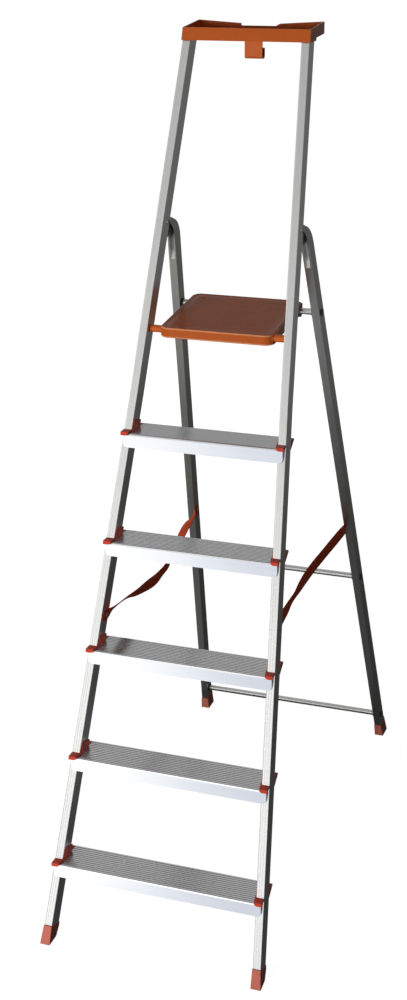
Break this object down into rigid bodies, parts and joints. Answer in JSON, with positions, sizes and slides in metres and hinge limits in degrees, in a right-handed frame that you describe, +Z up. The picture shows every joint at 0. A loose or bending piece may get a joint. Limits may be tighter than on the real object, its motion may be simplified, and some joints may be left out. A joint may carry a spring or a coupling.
{
  "type": "platform stepladder",
  "caption": "Folding aluminium platform stepladder with plastic tool tray, bucket hook, hinged platform, spreader straps and sleeve feet.",
  "frame": {"origin": "centre of the bounding box on the floor, the ladder standing open", "axes": "+Z up; -Y towards the climber; +X to the climber's right"},
  "size_m": [0.5332, 1.178, 1.909],
  "materials": {
    "aluminium_profile": "bright drawn profile with fine long grooves",
    "aluminium_tread": "bright drawn profile, ribbed top",
    "steel_fixings": "plain zinc-plated",
    "orange_plastic": "moulded, satin gloss",
    "clip_plastic": "moulded, satin",
    "foot_plastic": "moulded, satin",
    "dark_plastic": "moulded, matt",
    "strap_webbing": "woven webbing"
  },
  "bodies": {
    "front_frame": {"stile_left": "aluminium_profile", "stile_right": "aluminium_profile", "tread_1": "aluminium_tread", "tread_2": "aluminium_tread", "tread_3": "aluminium_tread", "tread_4": "aluminium_tread", "tread_5": "aluminium_tread", "tread_clip_1_left": "clip_plastic", "tread_clip_1_right": "clip_plastic", "tread_clip_2_left": "clip_plastic", "tread_clip_2_right": "clip_plastic", "tread_clip_3_left": "clip_plastic", "tread_clip_3_right": "clip_plastic", "tread_clip_4_left": "clip_plastic", "tread_clip_4_right": "clip_plastic", "tread_clip_5_left": "clip_plastic", "tread_clip_5_right": "clip_plastic", "tread_rivets": "steel_fixings", "front_foot_left": "foot_plastic", "front_foot_right": "foot_plastic", "tool_tray": "orange_plastic", "tray_rivets": "steel_fixings", "bucket_hook": "orange_plastic", "hook_screws": "steel_fixings", "hinge_pin_left": "steel_fixings", "hinge_pin_right": "steel_fixings", "strap_left": "strap_webbing", "strap_right": "strap_webbing", "strap_rivets_front": "steel_fixings"},
    "rear_frame": {"rear_leg_left": "aluminium_profile", "rear_leg_right": "aluminium_profile", "hinge_block_left": "dark_plastic", "hinge_block_right": "dark_plastic", "block_rivets": "steel_fixings", "platform_bar": "aluminium_profile", "middle_bar": "aluminium_profile", "lower_bar": "aluminium_profile", "bar_collars": "dark_plastic", "bar_plugs": "dark_plastic", "rear_foot_left": "foot_plastic", "rear_foot_right": "foot_plastic", "strap_rivets_rear": "steel_fixings"},
    "platform_body": {"platform": "orange_plastic", "platform_pin_left": "orange_plastic", "platform_pin_right": "orange_plastic", "platform_clip_left": "dark_plastic", "platform_clip_right": "dark_plastic", "clip_screws": "steel_fixings"}
  },
  "joints": [
    {"name": "rear_fold", "type": "hinge", "parent": "front_frame", "child": "rear_frame", "pos_m": [0, -0.0062, 1.5015], "axis": [-1, 0, 0], "range_deg": [0, 38], "deforming": ["strap_left", "strap_right"]},
    {"name": "platform_lift", "type": "hinge", "parent": "front_frame", "child": "platform_body", "pos_m": [0, -0.09465, 1.2853], "axis": [1, 0, 0], "range_deg": [0, 65.4]}
  ],
  "couplings": [
    {"joint": "platform_lift", "follows": "rear_fold", "ratio": 1.7211}
  ]
}
